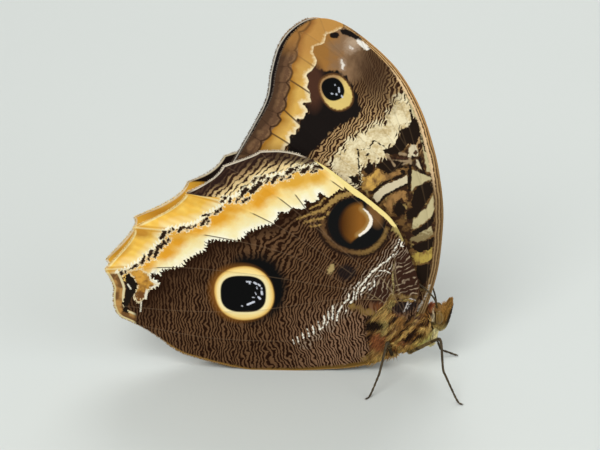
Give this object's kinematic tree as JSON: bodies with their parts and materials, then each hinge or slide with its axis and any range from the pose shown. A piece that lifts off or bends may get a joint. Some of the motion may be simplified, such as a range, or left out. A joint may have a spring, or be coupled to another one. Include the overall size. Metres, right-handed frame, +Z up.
{
  "type": "owl butterfly",
  "caption": "Life-size owl butterfly at rest, wings closed over its back with eye-spotted undersides showing, feet and hindwing edges on the floor.",
  "frame": {"origin": "middle of the bounding box's base, on the floor that the feet and the hindwings' lower edges rest on", "axes": "+X towards the head, -Y the animal's right side, +Z up; the closed wings stand in the XZ plane"},
  "size_m": [0.088, 0.0308, 0.0966],
  "materials": {
    "wing_fore": "matt scales, brown, ochre and cream",
    "wing_hind": "matt scales, dark brown with tan ripples and a yellow margin",
    "body_hair": "dense brown and ochre hair",
    "eye": "glossy dark brown",
    "chitin": "satin, dark olive brown"
  },
  "bodies": {
    "root": {"thorax": "body_hair", "abdomen": "body_hair", "head": "body_hair", "palp_right": "body_hair", "palp_left": "body_hair", "eye_right": "eye", "eye_left": "eye", "proboscis": "chitin", "antenna_right": "chitin", "antenna_left": "chitin", "foreleg_right": "chitin", "foreleg_left": "chitin", "midleg_right": "chitin", "midleg_left": "chitin", "hindleg_right": "chitin", "hindleg_left": "chitin", "wing_fore_right": "wing_fore", "wing_fore_left": "wing_fore", "wing_hind_right": "wing_hind", "wing_hind_left": "wing_hind"}
  },
  "joints": []
}
